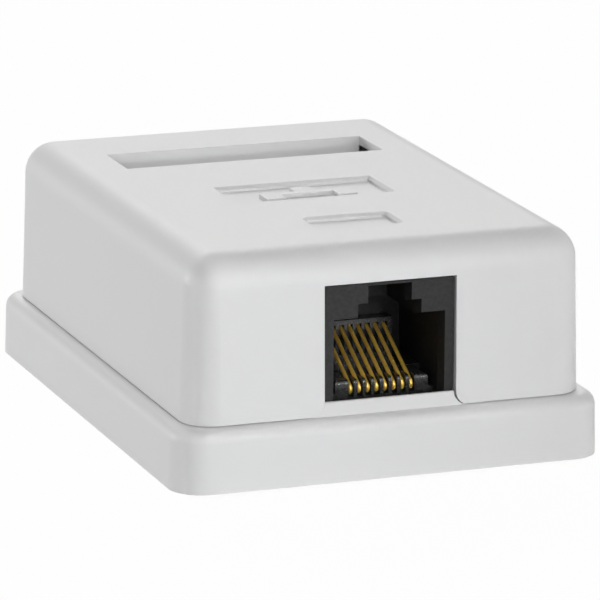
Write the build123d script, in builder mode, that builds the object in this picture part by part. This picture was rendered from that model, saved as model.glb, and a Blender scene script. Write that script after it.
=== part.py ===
from build123d import *

import os
from math import hypot

# Surface mount jack box: a tray-shaped base, a lift-off cover, and a circuit board between
# them that carries one modular jack and two blocks of wire terminals.
# Millimetres. Origin at the centre of the base's underside, +Z up, jack facing -Y.

# Base
base_width = 50.0
base_length = 67.0
base_height = 7.0
base_corner_radius = 3.8
base_edge_radius = 1.4
skirt_wall = 1.8
ledge_thickness = 1.8
floor_thickness = 2.0
draft_angle = 1.5

# Locating lip inside the cover
lip_height = 2.0
lip_wall = 1.4
lip_clearance = 0.3
tray_radius = 0.6

# Cover
cover_step = 1.75
cover_wall = 1.6
cover_top_wall = 1.05
cover_corner_radius = 3.6
cover_top_radius = 3.55
cover_header = 4.05
seam_gap = 0.1
seam_depth = 0.7

# Front tab of the base, in the bottom of the cover's cut-out
tab_height = 1.62
tab_thickness = 1.6
tab_gap = 0.15
tab_shift = 0.08
tab_recess = 0.12

# Label slot in the cover's top
label_length = 31.5
label_width = 7.7
label_depth = 2.6
label_wall = 1.2
label_setback = 47.55

# Shallow recesses in the cover's top
recess_depth = 0.62
recess_chamfer = 0.32
recess_backing = 0.6
recess_margin = 1.0
mark_recess_width = 19.0
mark_recess_length = 8.2
mark_recess_setback = 27.7
front_recess_width = 10.2
front_recess_length = 5.9
front_recess_setback = 12.2
front_recess_radius = 1.0

# Raised network symbol: three square stations on one line
symbol_height = 0.5
symbol_station = 2.3
symbol_pitch = 4.3
symbol_line = 0.8
symbol_stem = 1.15
symbol_shift = 0.5

# Snap tongues of the base, drawn pressed in as they are while the cover lifts off
tongue_width = 8.0
tongue_height = 6.0
tongue_inset = 0.6
tongue_spacing = 32.0
tongue_slit = 1.0
bead_reach = 0.5
bead_height = 1.6
catch_depth = 0.5
catch_clearance = 0.5

# Circuit board
board_thickness = 1.6
standoff_height = 4.6
board_front_gap = 0.45
board_side_gap = 2.4
board_neck_margin = 2.3
board_shoulder_gap = 1.1
board_rear_margin = 6.0
boss_diameter = 6.0
rest_width = 3.0
rest_inset = 2.0

# Board screws
screw_diameter = 2.4
screw_length = 6.0
screw_head_diameter = 4.6
screw_head_height = 1.6
screw_edge = 3.0
screw_clearance = 0.1
screw_board_clearance = 0.25
cross_width = 0.7
cross_span = 2.6
cross_depth = 0.9

# Jack housing
jack_width = 15.0
jack_height = 13.25
jack_depth = 16.0
jack_recess = 0.65
jack_gap = 0.2
jack_side_wall = 1.35
jack_top_wall = 0.57
plug_depth = 12.8
lead_in = 0.35
lead_in_depth = 1.2
step_width = 6.7
step_height = 1.55
notch_width = 4.4
notch_height = 1.96
notch_depth = 9.5
latch_wall = 1.8
peg_diameter = 2.6
peg_setback = 8.0
peg_clearance = 0.1

# Contact carrier
carrier_height = 1.9
carrier_side = 0.95
carrier_setback = 2.2
carrier_bar_gap = 0.7
carrier_bar_depth = 4.2
carrier_edge_radius = 0.45
carrier_flange = 0.5
carrier_nose = 0.6
carrier_clearance = 0.1
comb_clearance = 0.09
riser_gap = 0.3
riser_depth = 1.8
riser_headroom = 2.84
riser_slot_depth = 0.9
riser_slot_floor = 0.5
riser_slot_top = 0.5

# Contact wires
contact_count = 8
contact_pitch = 1.016
contact_diameter = 0.46
contact_inset = 0.27
contact_run_height = 0.45
contact_rise = 0.62
contact_tip_entry = 0.4
contact_tip_drop = 0.3
contact_foot_radius = 0.27
contact_bend_radius = 0.4
contact_tail_radius = 0.5
tail_first_row = 8.0
tail_row_spacing = 1.6
tail_length = 1.2
tail_clearance = 0.18
groove_clearance = 0.08

# Terminal blocks and blades
block_positions = 4
block_pitch = 4.0
block_end = 1.0
block_width = 7.0
block_height = 11.5
block_row_spacing = 17.0
block_jack_gap = 5.1
wire_slot_width = 1.3
wire_slot_depth = 6.5
tooth_chamfer = 0.7
blade_thickness = 0.5
blade_width = 2.6
blade_height = 9.4
blade_seat = 0.3
blade_slot_width = 0.4
blade_slot_depth = 4.5
blade_clearance = 0.1
blade_tail_width = 0.8
blade_tail_clearance = 0.08

# Wall fixing, cable entry and tie anchor
wall_slot_width = 4.2
wall_slot_length = 7.0
wall_slot_side = 5.35
wall_slot_end = 6.3
cable_entry_width = 12.0
cable_entry_length = 9.0
cable_entry_radius = 1.5
anchor_width = 8.0
anchor_depth = 2.6
anchor_height = 3.4
anchor_gap = 1.0
anchor_hole_width = 1.4
anchor_hole_height = 1.6
knockout_width = 10.0
knockout_height = 8.0
knockout_wall = 0.85

# Heights above the underside
board_bottom = floor_thickness + standoff_height
board_top = board_bottom + board_thickness
plug_floor = board_top + carrier_height
jack_top = board_top + jack_height
notch_top = jack_top - jack_top_wall
step_top = notch_top - notch_height
plug_top = step_top - step_height
riser_top = plug_top - riser_headroom
contact_run_z = board_top + contact_run_height
contact_bend_z = contact_run_z + contact_rise
contact_tip_z = riser_top - riser_slot_top - contact_tip_drop
tab_top = base_height + tab_height
cutout_top = jack_top + jack_gap
cover_top = cutout_top + cover_header
cover_height = cover_top - base_height
ceiling = cover_top - cover_top_wall

# Plan sizes, each set in from the one before
cover_width = base_width - 2 * cover_step
cover_length = base_length - 2 * cover_step
cavity_width = cover_width - 2 * cover_wall
cavity_length = cover_length - 2 * cover_wall
cavity_radius = cover_corner_radius - cover_wall
lip_width = cavity_width - 2 * lip_clearance
lip_length = cavity_length - 2 * lip_clearance
lip_radius = cavity_radius - lip_clearance
tray_width = lip_width - 2 * lip_wall
tray_length = lip_length - 2 * lip_wall
skirt_radius = base_corner_radius - skirt_wall

# Places along Y, from the jack at the front to the cable entry at the rear
cover_front = -cover_length / 2
jack_face = cover_front + jack_recess
jack_rear = jack_face + jack_depth
tab_front = cover_front + tab_recess
board_front = board_front_gap - tray_length / 2
board_shoulder = jack_rear + board_shoulder_gap
carrier_front = jack_face + carrier_setback
carrier_bar_end = carrier_front + carrier_bar_depth
plug_end = jack_face + plug_depth
riser_end = plug_end - riser_gap
riser_front = riser_end - riser_depth
contact_front = carrier_front + contact_inset
contact_tip = riser_front + contact_tip_entry
block_length = block_positions * block_pitch + 2 * block_end
block_center = jack_rear + block_jack_gap + block_length / 2
board_rear = block_center + block_length / 2 + board_rear_margin
label_center = cover_front + label_setback
mark_center = cover_front + mark_recess_setback
front_recess_center = cover_front + front_recess_setback
cable_entry_center = tray_length / 2 - wall_slot_end
anchor_center = cable_entry_center - cable_entry_length / 2 - anchor_gap - anchor_depth / 2

# Shared places and sizes across X
board_width = tray_width - 2 * board_side_gap
neck_width = jack_width + 2 * board_neck_margin
cutout_width = jack_width + 2 * jack_gap
tab_width = cutout_width - 2 * tab_gap
plug_width = jack_width - 2 * jack_side_wall
carrier_width = (contact_count - 1) * contact_pitch + 2 * carrier_side
carrier_bar_width = plug_width - 2 * carrier_bar_gap
screw_x = board_width / 2 - screw_edge
screw_y = board_rear - screw_edge
peg_x = (jack_width + carrier_width) / 4
peg_y = jack_face + peg_setback
rest_x = board_width / 2 - rest_inset
rest_y = board_shoulder + rest_inset
neck_rest_x = neck_width / 2 - rest_width / 2
neck_rest_y = board_front + rest_inset
block_x = block_row_spacing / 2
wall_slot_x = tray_width / 2 - wall_slot_side
wall_slot_y = tray_length / 2 - wall_slot_end
blade_offsets = [(i - (block_positions - 1) / 2) * block_pitch for i in range(block_positions)]
contact_offsets = [(i - (contact_count - 1) / 2) * contact_pitch for i in range(contact_count)]
tail_rows = [jack_face + tail_first_row + tail_row_spacing * (i % 2) for i in range(contact_count)]

# Slots and holes that the wires and blade tails pass through
comb_slot = contact_diameter + 2 * comb_clearance
contact_slope = (contact_tip_z - contact_bend_z) / (contact_tip - contact_front)
comb_end = contact_front + (plug_floor + contact_diameter - contact_bend_z) / contact_slope
groove_top = contact_run_z + contact_diameter / 2 + groove_clearance
tail_hole_diameter = contact_diameter + 2 * tail_clearance
blade_hole_diameter = hypot(blade_thickness, blade_tail_width) + 2 * blade_tail_clearance


def front_plane(y):
    """Plane facing -Y at the given y, with local x along X and local y along Z."""
    return Plane.XZ.offset(-y)


def box(x_range, y_range, z_range, mode=Mode.ADD):
    """Add a box given by its ranges to the part being built, or cut it away."""
    low, high = zip(x_range, y_range, z_range)
    with Locations(tuple((a + b) / 2 for a, b in zip(low, high))):
        Box(*(b - a for a, b in zip(low, high)), mode=mode)


def cut_box(x_range, y_range, z_range):
    """Cut a box given by its ranges out of the part being built."""
    box(x_range, y_range, z_range, mode=Mode.SUBTRACT)


def centred(size, at=0.0):
    """Range of the given size, centred on a place."""
    return (at - size / 2, at + size / 2)


def flared_profile(width, bottom, top, radius):
    """Upright outline at the seam whose lower ends sweep outwards in arcs."""
    half = width / 2
    shoulder = bottom + radius
    with BuildSketch() as profile:
        with BuildLine():
            Line((-half - radius, bottom), (half + radius, bottom))
            RadiusArc((half + radius, bottom), (half, shoulder), radius)
            Line((half, shoulder), (-half, shoulder))
            RadiusArc((-half, shoulder), (-half - radius, bottom), radius)
        make_face()
        if top > shoulder:
            with Locations((0, shoulder)):
                Rectangle(width, top - shoulder, align=(Align.CENTER, Align.MIN))
    return profile.sketch


parts = {}

# Cover: the hollow is drafted and rounded like the outside
with BuildPart() as cover_hollow:
    with BuildSketch(Plane.XY.offset(base_height)):
        RectangleRounded(cavity_width, cavity_length, cavity_radius)
    extrude(amount=ceiling - base_height, taper=draft_angle)
    fillet(edges().group_by(Axis.Z)[-1], cavity_radius - lip_clearance)

with BuildPart() as cover:
    with BuildSketch(Plane.XY.offset(base_height)):
        RectangleRounded(cover_width, cover_length, cover_corner_radius)
    extrude(amount=cover_height, taper=draft_angle)
    fillet(edges().group_by(Axis.Z)[-1], cover_top_radius)
    add(cover_hollow.part, mode=Mode.SUBTRACT)

    # Shadow gap round the lower edge, outside the rim that the cover rests on
    with BuildSketch(Plane.XY.offset(base_height)):
        RectangleRounded(cover_width, cover_length, cover_corner_radius)
        RectangleRounded(
            cover_width - 2 * seam_depth,
            cover_length - 2 * seam_depth,
            cover_corner_radius - seam_depth,
            mode=Mode.SUBTRACT,
        )
    extrude(amount=seam_gap, mode=Mode.SUBTRACT)

    # Backing under the recesses, and the open-ended trough that holds the label
    trough_floor = cover_top - label_depth - label_wall
    for width, length, center in [
        (mark_recess_width, mark_recess_length, mark_center),
        (front_recess_width, front_recess_length, front_recess_center),
    ]:
        box(
            centred(width + 2 * recess_margin),
            centred(length + 2 * recess_margin, center),
            (ceiling - recess_backing, ceiling),
        )
    box(centred(label_length), centred(label_width + 2 * label_wall, label_center), (trough_floor, ceiling))
    cut_box(
        centred(label_length),
        centred(label_width, label_center),
        (cover_top - label_depth, cover_top),
    )

    # Recesses with a chamfered upper edge
    for width, length, center, radius in [
        (mark_recess_width, mark_recess_length, mark_center, 0),
        (front_recess_width, front_recess_length, front_recess_center, front_recess_radius),
    ]:
        with BuildSketch(Plane.XY.offset(cover_top)) as mouth:
            with Locations((0, center)):
                Rectangle(width, length)
            if radius:
                fillet(mouth.vertices(), radius)
        extrude(amount=-recess_chamfer, taper=45, mode=Mode.SUBTRACT)
        with BuildSketch(Plane.XY.offset(cover_top - recess_chamfer)) as well:
            with Locations((0, center)):
                Rectangle(width - 2 * recess_chamfer, length - 2 * recess_chamfer)
            if radius:
                fillet(well.vertices(), radius - recess_chamfer)
        extrude(amount=recess_chamfer - recess_depth, mode=Mode.SUBTRACT)

    # Raised symbol on the floor of the larger recess
    with BuildSketch(Plane.XY.offset(cover_top - recess_depth)):
        with Locations((0, mark_center - symbol_shift)):
            Rectangle(2 * symbol_pitch + symbol_station, symbol_line)
        with Locations(
            (-symbol_pitch, mark_center - symbol_shift - symbol_stem),
            (0, mark_center - symbol_shift + symbol_stem),
            (symbol_pitch, mark_center - symbol_shift - symbol_stem),
        ):
            Rectangle(symbol_station, symbol_station)
    extrude(amount=symbol_height)

    # Cut-out for the jack, open at the seam
    with BuildSketch(front_plane(cover_front)):
        add(flared_profile(cutout_width, base_height, cutout_top, tab_height))
    extrude(amount=-(cover_wall + cover_top_radius), mode=Mode.SUBTRACT)

    # Thin panel in the rear wall that breaks out for a surface cable
    cut_box(
        centred(knockout_width),
        (cavity_length / 2 - cover_wall, cover_length / 2 - knockout_wall),
        (base_height, base_height + knockout_height),
    )

    # Catches for the snap tongues, cut into the side walls
    catch_bottom = base_height + tongue_height - bead_height - catch_clearance
    catch_top = base_height + tongue_height + catch_clearance
    for side in (-1, 1):
        for y in centred(tongue_spacing):
            cut_box(
                centred(2 * catch_depth, side * cavity_width / 2),
                centred(tongue_width + 2 * catch_clearance, y),
                (catch_bottom, catch_top),
            )
parts["cover"] = cover

# Base: a tray with a cored rim, a locating lip, snap tongues and posts for the board
with BuildPart() as base:
    with BuildSketch():
        RectangleRounded(base_width, base_length, base_corner_radius)
    extrude(amount=base_height, taper=draft_angle)
    fillet(edges().group_by(Axis.Z)[-1], base_edge_radius)
    with BuildSketch(Plane.XY.offset(base_height)):
        RectangleRounded(lip_width, lip_length, lip_radius)
    extrude(amount=lip_height)
    with BuildSketch(Plane.XY.offset(floor_thickness)):
        RectangleRounded(tray_width, tray_length, tray_radius)
    extrude(amount=base_height + lip_height - floor_thickness, mode=Mode.SUBTRACT)
    with BuildSketch():
        RectangleRounded(base_width - 2 * skirt_wall, base_length - 2 * skirt_wall, skirt_radius)
        RectangleRounded(lip_width, lip_length, lip_radius, mode=Mode.SUBTRACT)
    extrude(amount=base_height - ledge_thickness, mode=Mode.SUBTRACT)

    # Gaps in the lip for the break-out panel and the snap tongues
    lip_top = base_height + lip_height
    cut_box(
        centred(knockout_width + 2 * lip_clearance),
        (tray_length / 2, lip_length / 2),
        (base_height, lip_top),
    )
    for side in (-1, 1):
        wall_x = sorted((side * lip_width / 2, side * tray_width / 2))
        for y in centred(tongue_spacing):
            cut_box(wall_x, centred(tongue_width + 2 * tongue_slit, y), (base_height, lip_top))
            with BuildSketch(Plane.XZ.offset(-(y + tongue_width / 2))):
                outer = lip_width / 2 - tongue_inset
                top = base_height + tongue_height
                with BuildLine():
                    Polyline(
                        (side * (outer - lip_wall), base_height - ledge_thickness),
                        (side * outer, base_height - ledge_thickness),
                        (side * outer, top - bead_height),
                        (side * (outer + bead_reach), top - bead_height / 2),
                        (side * outer, top),
                        (side * (outer - lip_wall), top),
                        close=True,
                    )
                make_face()
            extrude(amount=tongue_width)

    # Tab that closes the bottom of the cover's cut-out, a little to its left, and the gap behind it
    with BuildSketch(front_plane(tab_front)):
        with Locations((-tab_shift, 0)):
            add(flared_profile(tab_width, base_height, tab_top, tab_height))
    extrude(amount=-tab_thickness)
    tab_seat_y = (jack_face - jack_gap, -lip_length / 2)
    lip_wall_y = (-lip_length / 2, -tray_length / 2)
    cut_box(centred(cutout_width), tab_seat_y, (board_top - jack_gap, jack_top))
    cut_box(centred(cutout_width), lip_wall_y, (board_bottom, jack_top))

    # Bosses for the board screws and plain rests for the board's front half
    with BuildSketch(Plane.XY.offset(floor_thickness)):
        with Locations((-screw_x, screw_y), (screw_x, screw_y)):
            Circle(boss_diameter / 2)
        with Locations((-rest_x, rest_y), (rest_x, rest_y)):
            Rectangle(rest_width, rest_width)
        with Locations((-neck_rest_x, neck_rest_y), (neck_rest_x, neck_rest_y)):
            Rectangle(rest_width, rest_width)
    extrude(amount=standoff_height)
    pilot_depth = screw_length - board_thickness + screw_clearance
    with BuildSketch(Plane.XY.offset(board_bottom)):
        with Locations((-screw_x, screw_y), (screw_x, screw_y)):
            Circle(screw_diameter / 2 + screw_clearance)
    extrude(amount=-pilot_depth, mode=Mode.SUBTRACT)

    # Anchor for a cable tie, in front of the cable entry
    anchor_top = floor_thickness + anchor_height
    box(
        centred(anchor_width),
        centred(anchor_depth, anchor_center),
        (floor_thickness, anchor_top),
    )
    cut_box(
        centred(anchor_width),
        centred(anchor_hole_width, anchor_center),
        (floor_thickness, floor_thickness + anchor_hole_height),
    )

    # Wall screw slots and cable entry through the floor
    with BuildSketch():
        with GridLocations(2 * wall_slot_x, 2 * wall_slot_y, 2, 2):
            SlotOverall(wall_slot_length, wall_slot_width)
        with Locations((0, cable_entry_center)):
            RectangleRounded(cable_entry_width, cable_entry_length, cable_entry_radius)
    extrude(amount=floor_thickness, mode=Mode.SUBTRACT)
parts["base"] = base

# Circuit board: a neck under the jack and a wide body under the terminal blocks
with BuildPart() as circuit_board:
    with BuildSketch(Plane.XY.offset(board_bottom)):
        with BuildLine():
            Polyline(
                (-neck_width / 2, board_front),
                (neck_width / 2, board_front),
                (neck_width / 2, board_shoulder),
                (board_width / 2, board_shoulder),
                (board_width / 2, board_rear),
                (-board_width / 2, board_rear),
                (-board_width / 2, board_shoulder),
                (-neck_width / 2, board_shoulder),
                close=True,
            )
        make_face()
        with Locations((-screw_x, screw_y), (screw_x, screw_y)):
            Circle(screw_diameter / 2 + screw_board_clearance, mode=Mode.SUBTRACT)
        with Locations((-peg_x, peg_y), (peg_x, peg_y)):
            Circle(peg_diameter / 2 + peg_clearance, mode=Mode.SUBTRACT)
        with Locations(*zip(contact_offsets, tail_rows)):
            Circle(tail_hole_diameter / 2, mode=Mode.SUBTRACT)
        with Locations(*[(s * block_x, block_center + y) for s in (-1, 1) for y in blade_offsets]):
            Circle(blade_hole_diameter / 2, mode=Mode.SUBTRACT)
    extrude(amount=board_thickness)
parts["circuit_board"] = circuit_board

# Jack housing: keyed mouth with a tapered lead-in, a latch pocket and a bay for the contact carrier
with BuildPart() as jack_housing:
    jack_y = (jack_face, jack_rear)
    bay_end = carrier_bar_end + carrier_clearance
    notch_end = jack_face + notch_depth
    channel_width = carrier_width + 2 * carrier_clearance
    box(centred(jack_width), jack_y, (board_top, jack_top))
    cut_box(centred(plug_width), (jack_face, plug_end), (plug_floor, plug_top))
    cut_box(centred(plug_width), (jack_face, bay_end), (board_top, plug_floor))
    cut_box(centred(channel_width), (bay_end, plug_end), (board_top, plug_floor))
    cut_box(centred(step_width), (jack_face, notch_end), (plug_top, step_top))
    cut_box(centred(notch_width), (jack_face, notch_end), (step_top, notch_top))
    cut_box(centred(step_width), (jack_face + latch_wall, notch_end), (step_top, notch_top))
    mouth_edges = edges().filter_by(
        lambda e: abs(e.center().Y - jack_face) < 1e-6
        and abs(e.center().X) < plug_width / 2 + 1e-6
        and e.center().Z < notch_top + 1e-6
    )
    front_face = faces().sort_by(Axis.Y)[0]
    chamfer(mouth_edges, lead_in, lead_in_depth, reference=front_face)
    with BuildSketch(Plane.XY.offset(board_top)):
        with Locations((-peg_x, peg_y), (peg_x, peg_y)):
            Circle(peg_diameter / 2)
    extrude(amount=-board_thickness)
parts["jack_housing"] = jack_housing

# Contact carrier: a floor with a front comb, a nose over the board's edge and a riser for the wire tips
with BuildPart() as contact_carrier:
    carrier_z = (board_top, plug_floor)
    bar_y = (carrier_front, carrier_bar_end)
    nose_y = (carrier_front, board_front - carrier_clearance)
    bay_x = centred(plug_width - 2 * carrier_clearance)
    box(centred(carrier_bar_width), bar_y, carrier_z)
    comb_edges = edges().group_by(Axis.Z)[-1].filter_by(lambda e: e.center().Y < carrier_bar_end)
    fillet(comb_edges, carrier_edge_radius)
    box(bay_x, bar_y, (board_top, board_top + carrier_flange))
    box(bay_x, nose_y, (board_top - carrier_nose, board_top))
    box(centred(carrier_width), (carrier_bar_end, riser_end), carrier_z)
    box(centred(carrier_width), (riser_front, riser_end), (plug_floor, riser_top))
    for x, tail_y in zip(contact_offsets, tail_rows):
        slot_x = centred(comb_slot, x)
        cut_box(slot_x, (carrier_front, comb_end), carrier_z)
        cut_box(slot_x, (carrier_front, tail_y + comb_slot / 2), (board_top, groove_top))
        cut_box(
            slot_x,
            (riser_front, riser_front + riser_slot_depth),
            (plug_floor + riser_slot_floor, riser_top - riser_slot_top),
        )
parts["contact_carrier"] = contact_carrier

# Contacts: one bent wire each, from a solder tail under the board to a free tip
for number, (x, tail_y) in enumerate(zip(contact_offsets, tail_rows), start=1):
    with BuildPart() as contact:
        with BuildLine(Plane.YZ.offset(x)) as route:
            FilletPolyline(
                (tail_y, board_bottom - tail_length),
                (tail_y, contact_run_z),
                (contact_front, contact_run_z),
                (contact_front, contact_bend_z),
                (contact_tip, contact_tip_z),
                radius=[contact_tail_radius, contact_foot_radius, contact_bend_radius],
            )
        with BuildSketch(Plane(origin=route.line @ 0, z_dir=route.line % 0)):
            Circle(contact_diameter / 2)
        sweep(path=route.line)
    parts[f"contact_{number}"] = contact

# Terminal blocks: a slot across each position for the wire, and a pocket for its blade
for name, side in (("left", -1), ("right", 1)):
    block_top = board_top + block_height
    x = side * block_x
    with BuildPart() as idc_block:
        box(
            centred(block_width, x),
            centred(block_length, block_center),
            (board_top, block_top),
        )
        for y in blade_offsets:
            cut_box(
                centred(block_width, x),
                centred(wire_slot_width, block_center + y),
                (block_top - wire_slot_depth, block_top),
            )
        chamfer(edges().filter_by(Axis.X).group_by(Axis.Z)[-1], tooth_chamfer)
        for y in blade_offsets:
            cut_box(
                centred(blade_thickness + 2 * blade_clearance, x),
                centred(blade_width + 2 * blade_clearance, block_center + y),
                (board_top, block_top),
            )
    parts[f"idc_block_{name}"] = idc_block

# Blades: a forked blade with a solder tail, numbered from the front, left row first
blade_places = [(s * block_x, block_center + y) for s in (-1, 1) for y in blade_offsets]
for number, (x, y) in enumerate(blade_places, start=1):
    blade_bottom = board_top + blade_seat
    blade_top = blade_bottom + blade_height
    fork_z = blade_top - blade_slot_depth
    with BuildPart() as terminal:
        with BuildSketch(Plane.YZ.offset(x - blade_thickness / 2)):
            with Locations((y, blade_bottom)):
                Rectangle(blade_width, blade_height, align=(Align.CENTER, Align.MIN))
            with Locations((y, board_bottom - tail_length)):
                tail_height = blade_bottom - board_bottom + tail_length
                Rectangle(blade_tail_width, tail_height, align=(Align.CENTER, Align.MIN))
            with BuildLine():
                Polyline(
                    (y - blade_slot_width / 2, fork_z),
                    (y + blade_slot_width / 2, fork_z),
                    (y + blade_slot_width / 2, blade_top - blade_width / 4),
                    (y + blade_width / 4, blade_top),
                    (y - blade_width / 4, blade_top),
                    (y - blade_slot_width / 2, blade_top - blade_width / 4),
                    close=True,
                )
            make_face(mode=Mode.SUBTRACT)
        extrude(amount=blade_thickness)
    parts[f"idc_terminal_{number}"] = terminal

# Board screws: two like pan-head screws with a cross recess
with BuildPart() as board_screws:
    with BuildSketch(Plane.XY.offset(board_top)):
        with Locations((-screw_x, screw_y), (screw_x, screw_y)):
            Circle(screw_head_diameter / 2)
    extrude(amount=screw_head_height)
    fillet(edges().group_by(Axis.Z)[-1], screw_head_height / 2)
    with BuildSketch(Plane.XY.offset(board_top + screw_head_height)):
        with Locations((-screw_x, screw_y), (screw_x, screw_y)):
            Rectangle(cross_span, cross_width)
            Rectangle(cross_width, cross_span)
    extrude(amount=-cross_depth, mode=Mode.SUBTRACT)
    with BuildSketch(Plane.XY.offset(board_top)):
        with Locations((-screw_x, screw_y), (screw_x, screw_y)):
            Circle(screw_diameter / 2)
    extrude(amount=-screw_length)
parts["board_screws"] = board_screws

os.makedirs("parts", exist_ok=True)
for name, piece in parts.items():
    piece.part.label = name
    export_step(piece.part, f"parts/{name}.step")
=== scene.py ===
"""Studio scene of a surface mount jack box: finishes, board print, camera and light."""

import math

import bmesh
import bpy
from mathutils import Matrix, Vector


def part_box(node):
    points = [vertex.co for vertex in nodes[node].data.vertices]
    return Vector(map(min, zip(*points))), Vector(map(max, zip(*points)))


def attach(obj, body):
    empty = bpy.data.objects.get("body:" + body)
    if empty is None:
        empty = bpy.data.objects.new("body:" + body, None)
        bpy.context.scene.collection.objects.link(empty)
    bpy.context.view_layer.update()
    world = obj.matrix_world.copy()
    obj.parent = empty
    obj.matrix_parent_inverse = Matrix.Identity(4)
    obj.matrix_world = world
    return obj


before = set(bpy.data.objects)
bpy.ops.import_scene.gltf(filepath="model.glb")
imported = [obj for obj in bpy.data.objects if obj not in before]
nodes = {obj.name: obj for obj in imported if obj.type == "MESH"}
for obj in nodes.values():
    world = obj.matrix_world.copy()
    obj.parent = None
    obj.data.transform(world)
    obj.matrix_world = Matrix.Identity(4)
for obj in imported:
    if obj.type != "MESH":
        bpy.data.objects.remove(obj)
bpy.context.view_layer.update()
scene = bpy.context.scene

# Repeated pieces: a contact and a terminal for each wire, half of the terminals in each block
WIRE_COUNT = 8
BLOCK_WIRES = WIRE_COUNT // 2
CONTACTS = [f"contact_{i}" for i in range(1, WIRE_COUNT + 1)]
TERMINALS = [f"idc_terminal_{i}" for i in range(1, WIRE_COUNT + 1)]
LEFT_BLOCK = "idc_block_left"
RIGHT_BLOCK = "idc_block_right"

# Camera, fitted to the photograph's edges, in degrees, metres and millimetres of film
CAMERA_AZIMUTH = -20.386
CAMERA_ELEVATION = 14.547
CAMERA_ROLL = 0.452
CAMERA_DISTANCE = 0.56316
CAMERA_AIM = Vector((-0.007737, -0.02382, 0.01826))
CAMERA_LENS = 308.23
CAMERA_SENSOR = 36.0
CAMERA_CLIP_START = 0.01

# Narrow lamp's aim, as a share of the way from the middle of the base's front to its left corner
BEAM_AIM = 0.9

# Noise in the finishes, and the share of it over which a mottled tone changes
NOISE_DETAIL = 3
MOTTLE_BAND = (0.35, 0.65)

# Floor: half its side in metres, and the share of its look that is plain white
FLOOR_HALF = 3.0
FLOOR_GLOW = 0.975

# Board print, in metres
PRINT_GAP = 0.0001
TRACK_WIDTH = 0.0005
TRACK_HEIGHT = 0.00003
TRACK_BEND = 0.0012
OUTLINE_GAP = 0.0005
OUTLINE_WIDTH = 0.0002
OUTLINE_HEIGHT = 0.00002


def new_material(name, color, roughness, metallic=0.0):
    """Principled material with the given finish, and its shader."""
    material = bpy.data.materials.new(name)
    material.use_nodes = True
    shader = material.node_tree.nodes["Principled BSDF"]
    shader.inputs["Base Color"].default_value = (*color, 1)
    shader.inputs["Roughness"].default_value = roughness
    shader.inputs["Metallic"].default_value = metallic
    return material, shader


def add_noise(tree, size):
    """Noise of the given grain size in metres, fixed to the piece."""
    place = tree.nodes.new("ShaderNodeTexCoord")
    noise = tree.nodes.new("ShaderNodeTexNoise")
    noise.inputs["Scale"].default_value = 1 / size
    noise.inputs["Detail"].default_value = NOISE_DETAIL
    tree.links.new(place.outputs["Object"], noise.inputs["Vector"])
    return noise


def add_grain(material, shader, size, depth, strength):
    """Fine texture of the surface: noise of the given grain size and depth in metres, as a bump."""
    tree = material.node_tree
    noise = add_noise(tree, size)
    bump = tree.nodes.new("ShaderNodeBump")
    bump.inputs["Strength"].default_value = strength
    bump.inputs["Distance"].default_value = depth
    tree.links.new(noise.outputs["Fac"], bump.inputs["Height"])
    tree.links.new(bump.outputs["Normal"], shader.inputs["Normal"])


def add_mottle(material, shader, size, dark, light):
    """Uneven tone: noise of the given grain size in metres, between two colours."""
    tree = material.node_tree
    noise = add_noise(tree, size)
    ramp = tree.nodes.new("ShaderNodeValToRGB")
    for element, position, color in zip(ramp.color_ramp.elements, MOTTLE_BAND, (dark, light)):
        element.position = position
        element.color = (*color, 1)
    tree.links.new(noise.outputs["Fac"], ramp.inputs["Fac"])
    tree.links.new(ramp.outputs["Color"], shader.inputs["Base Color"])


def white_plastic():
    material, shader = new_material("white_shell", color=(0.78, 0.78, 0.78), roughness=0.48)
    add_grain(material, shader, size=0.00025, depth=0.00002, strength=0.25)
    return material


def black_plastic():
    material, shader = new_material("black_moulding", color=(0.0045, 0.0045, 0.0047), roughness=0.5)
    shader.inputs["Specular IOR Level"].default_value = 0.36
    add_mottle(material, shader, size=0.0005, dark=(0.001, 0.001, 0.0011), light=(0.008, 0.008, 0.0082))
    add_grain(material, shader, size=0.0003, depth=0.00003, strength=0.35)
    return material


def glossy_black_plastic():
    material, shader = new_material("black_comb", color=(0.02, 0.02, 0.02), roughness=0.24)
    shader.inputs["Specular IOR Level"].default_value = 0.65
    add_mottle(material, shader, size=0.0005, dark=(0.012, 0.012, 0.0125), light=(0.028, 0.028, 0.029))
    return material


def natural_plastic():
    material, shader = new_material("natural_moulding", color=(0.72, 0.70, 0.63), roughness=0.45)
    add_grain(material, shader, size=0.0003, depth=0.00002, strength=0.2)
    return material


def gold():
    material, shader = new_material("gold_contact", color=(1.0, 0.65, 0.11), roughness=0.28, metallic=0.45)
    shader.inputs["Coat Weight"].default_value = 0.5
    shader.inputs["Coat Roughness"].default_value = 0.12
    add_grain(material, shader, size=0.00015, depth=0.000005, strength=0.3)
    return material


def tin():
    material, shader = new_material("tinned_blade", color=(0.72, 0.72, 0.70), roughness=0.3, metallic=1.0)
    add_grain(material, shader, size=0.0002, depth=0.000005, strength=0.3)
    return material


def zinc():
    material, shader = new_material("plated_screw", color=(0.62, 0.62, 0.60), roughness=0.32, metallic=1.0)
    add_grain(material, shader, size=0.0002, depth=0.00001, strength=0.2)
    return material


def laminate():
    material, shader = new_material("green_laminate", color=(0.012, 0.12, 0.045), roughness=0.28)
    add_grain(material, shader, size=0.0006, depth=0.00001, strength=0.3)
    return material


def covered_copper():
    material, shader = new_material("covered_copper", color=(0.02, 0.22, 0.07), roughness=0.3)
    add_grain(material, shader, size=0.0006, depth=0.00001, strength=0.3)
    return material


def board_ink():
    material, shader = new_material("board_ink", color=(0.78, 0.78, 0.76), roughness=0.6)
    add_mottle(material, shader, size=0.0003, dark=(0.7, 0.7, 0.68), light=(0.82, 0.82, 0.8))
    return material


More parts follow.
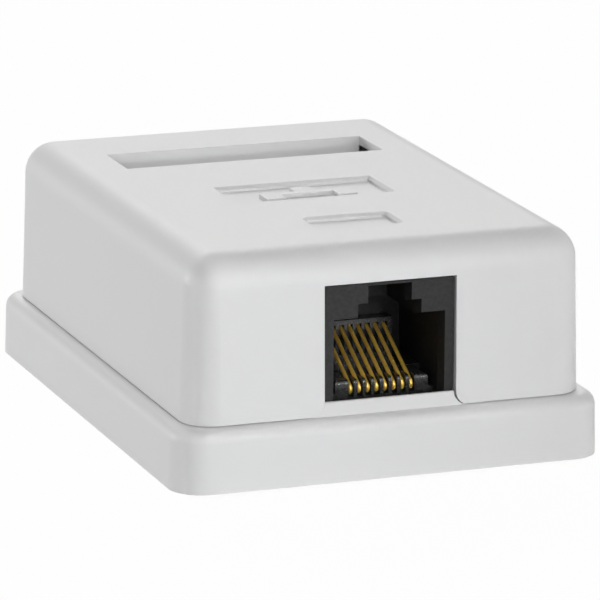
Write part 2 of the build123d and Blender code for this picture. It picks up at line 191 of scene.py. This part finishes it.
def assign(material, names):
    for name in names:
        data = nodes[name].data
        data.materials.clear()
        data.materials.append(material)


def finish_pieces():
    """Finish of each piece of the box."""
    assign(white_plastic(), ["cover", "base"])
    assign(black_plastic(), ["jack_housing"])
    assign(glossy_black_plastic(), ["contact_carrier"])
    assign(natural_plastic(), [LEFT_BLOCK, RIGHT_BLOCK])
    assign(gold(), CONTACTS)
    assign(tin(), TERMINALS)
    assign(zinc(), ["board_screws"])
    assign(laminate(), ["circuit_board"])


def add_piece(name, builder, material):
    """Piece on the board, made from a filled bmesh, that moves with the base."""
    mesh = bpy.data.meshes.new(name)
    builder.to_mesh(mesh)
    builder.free()
    mesh.materials.append(material)
    piece = bpy.data.objects.new(name, mesh)
    scene.collection.objects.link(piece)
    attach(piece, "base_assembly")


def add_slab(builder, x_range, y_range, z_range):
    """Box between the given ranges."""
    size = [b - a for a, b in (x_range, y_range, z_range)]
    middle = [(a + b) / 2 for a, b in (x_range, y_range, z_range)]
    place = Matrix.Translation(middle) @ Matrix.Diagonal((*size, 1))
    bmesh.ops.create_cube(builder, size=1, matrix=place)


def add_track(builder, points, width, bottom, height):
    """Flat strip of the given width along an open path on the board."""
    path = [Vector(p) for p in points]
    steps = [(b - a).normalized() for a, b in zip(path, path[1:])]
    sides = []
    for before, after in zip([steps[0], *steps], [*steps, steps[-1]]):
        half_way = (before + after).normalized()
        normal = Vector((-half_way.y, half_way.x))
        sides.append(normal * width / 2 / half_way.dot(after))
    top = bottom + height
    rows = []
    for point, side in zip(path, sides):
        left, right = point + side, point - side
        corners = [(left, bottom), (right, bottom), (right, top), (left, top)]
        rows.append([builder.verts.new((p.x, p.y, z)) for p, z in corners])
    for one, two in zip(rows, rows[1:]):
        for i in range(len(one)):
            j = (i + 1) % len(one)
            builder.faces.new((one[i], one[j], two[j], two[i]))
    builder.faces.new(reversed(rows[0]))
    builder.faces.new(rows[-1])


def print_tracks(board_top):
    """Tracks from the jack to the blocks, nested: the outer contacts lead to the front terminals."""
    jack_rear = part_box("jack_housing")[1].y
    terminals = [*TERMINALS[:BLOCK_WIRES], *reversed(TERMINALS[BLOCK_WIRES:])]
    tracks = bmesh.new()
    for contact, terminal in zip(CONTACTS, terminals):
        low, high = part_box(contact)
        x = (low.x + high.x) / 2
        side = math.copysign(1, x)
        low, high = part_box(terminal)
        y = (low.y + high.y) / 2
        low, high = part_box(LEFT_BLOCK if side < 0 else RIGHT_BLOCK)
        inner = min(low.x, high.x, key=abs) - side * PRINT_GAP
        path = [(x, jack_rear + PRINT_GAP), (x, y - TRACK_BEND), (x + side * TRACK_BEND, y), (inner, y)]
        add_track(tracks, path, TRACK_WIDTH, board_top, TRACK_HEIGHT)
    add_piece("board_tracks", tracks, covered_copper())


def print_outlines(board_top):
    """Ink outlines round the blocks, on top of the tracks."""
    outlines = bmesh.new()
    z_range = (board_top + TRACK_HEIGHT, board_top + TRACK_HEIGHT + OUTLINE_HEIGHT)
    for block in (LEFT_BLOCK, RIGHT_BLOCK):
        low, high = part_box(block)
        x0, y0 = low.x - OUTLINE_GAP, low.y - OUTLINE_GAP
        x1, y1 = high.x + OUTLINE_GAP, high.y + OUTLINE_GAP
        for x in (x0, x1):
            add_slab(outlines, (x - OUTLINE_WIDTH / 2, x + OUTLINE_WIDTH / 2), (y0, y1), z_range)
        for y in (y0, y1):
            add_slab(outlines, (x0, x1), (y - OUTLINE_WIDTH / 2, y + OUTLINE_WIDTH / 2), z_range)
    add_piece("board_outlines", outlines, board_ink())


def print_board():
    """Print on the board's upper face."""
    board_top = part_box("circuit_board")[1].z
    print_tracks(board_top)
    print_outlines(board_top)


def bearing(azimuth, elevation):
    """Unit vector from the object towards a bearing in degrees, where azimuth 0 is the front."""
    a, e = math.radians(azimuth), math.radians(elevation)
    return Vector((math.sin(a) * math.cos(e), -math.cos(a) * math.cos(e), math.sin(e)))


def place_camera():
    azimuth, roll = math.radians(CAMERA_AZIMUTH), math.radians(CAMERA_ROLL)
    back = bearing(CAMERA_AZIMUTH, CAMERA_ELEVATION)
    level = Vector((math.cos(azimuth), math.sin(azimuth), 0))
    upright = back.cross(level)
    right = math.cos(roll) * level + math.sin(roll) * upright
    up = math.cos(roll) * upright - math.sin(roll) * level
    data = bpy.data.cameras.new("camera")
    data.lens = CAMERA_LENS
    data.sensor_width = CAMERA_SENSOR
    data.clip_start = CAMERA_CLIP_START
    camera = bpy.data.objects.new("camera", data)
    axes = Matrix((right, up, back)).transposed().to_4x4()
    camera.matrix_world = Matrix.Translation(CAMERA_AIM + back * CAMERA_DISTANCE) @ axes
    scene.collection.objects.link(camera)
    scene.camera = camera


def area_light(name, azimuth, elevation, distance, size, power, aim=Vector(), spread=180):
    """Soft square lamp placed by its bearing from the origin, that faces the aim point."""
    data = bpy.data.lights.new(name, "AREA")
    data.energy = power
    data.size = size
    data.spread = math.radians(spread)
    lamp = bpy.data.objects.new(name, data)
    lamp.location = bearing(azimuth, elevation) * distance
    lamp.rotation_euler = (lamp.location - aim).to_track_quat("Z", "Y").to_euler()
    lamp.visible_camera = False
    scene.collection.objects.link(lamp)


def light_object():
    """Soft lamps all round, and a narrow one that favours the left half of the front."""
    area_light("front_high", azimuth=0, elevation=65, distance=2.0, size=0.8, power=6.2)
    area_light("front_soft", azimuth=-20, elevation=28, distance=1.5, size=1.2, power=5.5)
    area_light("front_right", azimuth=20, elevation=25, distance=1.5, size=0.4, power=1.6)
    area_light("right_low", azimuth=60, elevation=8, distance=1.5, size=0.3, power=3.0)
    area_light("left_low", azimuth=-128, elevation=7, distance=1.5, size=0.25, power=8.3)
    area_light("rear_right", azimuth=160, elevation=30, distance=2.0, size=0.8, power=6.8)
    area_light("rear_high", azimuth=180, elevation=40, distance=2.0, size=0.8, power=7.2)
    low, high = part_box("base")
    corner = Vector((BEAM_AIM * low.x, low.y, high.z))
    area_light(
        "front_beam", azimuth=11, elevation=10, distance=0.8, size=0.06, power=0.0079, aim=corner, spread=12
    )


def seen_rays(tree):
    """Output that is 1 for rays that show the background: from the camera, in gloss or through glass."""
    path = tree.nodes.new("ShaderNodeLightPath")
    seen = path.outputs["Is Camera Ray"]
    for name in ("Is Glossy Ray", "Is Transmission Ray"):
        either = tree.nodes.new("ShaderNodeMath")
        either.operation = "MAXIMUM"
        tree.links.new(seen, either.inputs[0])
        tree.links.new(path.outputs[name], either.inputs[1])
        seen = either.outputs["Value"]
    return seen


def floor_finish():
    """Matt white, mixed with plain white where it is seen, which leaves a faint shadow."""
    material, shader = new_material("floor", color=(0.9, 0.9, 0.9), roughness=0.7)
    material.cycles.emission_sampling = "NONE"
    tree = material.node_tree
    glow = tree.nodes.new("ShaderNodeEmission")
    share = tree.nodes.new("ShaderNodeMath")
    share.operation = "MULTIPLY"
    share.inputs[1].default_value = FLOOR_GLOW
    mix = tree.nodes.new("ShaderNodeMixShader")
    tree.links.new(seen_rays(tree), share.inputs[0])
    tree.links.new(share.outputs["Value"], mix.inputs["Fac"])
    tree.links.new(shader.outputs["BSDF"], mix.inputs[1])
    tree.links.new(glow.outputs["Emission"], mix.inputs[2])
    tree.links.new(mix.outputs["Shader"], tree.nodes["Material Output"].inputs["Surface"])
    return material


def make_floor():
    """Square floor under the box."""
    mesh = bpy.data.meshes.new("floor")
    corners = [(-1, -1), (1, -1), (1, 1), (-1, 1)]
    mesh.from_pydata([(x * FLOOR_HALF, y * FLOOR_HALF, 0) for x, y in corners], [], [(0, 1, 2, 3)])
    mesh.materials.append(floor_finish())
    floor = bpy.data.objects.new("floor", mesh)
    scene.collection.objects.link(floor)


def make_surround():
    """White surround, where it is seen."""
    world = bpy.data.worlds.new("world")
    world.use_nodes = True
    world.cycles.sampling_method = "NONE"
    tree = world.node_tree
    background = tree.nodes["Background"]
    background.inputs["Color"].default_value = (1, 1, 1, 1)
    tree.links.new(seen_rays(tree), background.inputs["Strength"])
    scene.world = world


finish_pieces()
print_board()
place_camera()
light_object()
make_floor()
make_surround()
scene.view_settings.view_transform = "Standard"
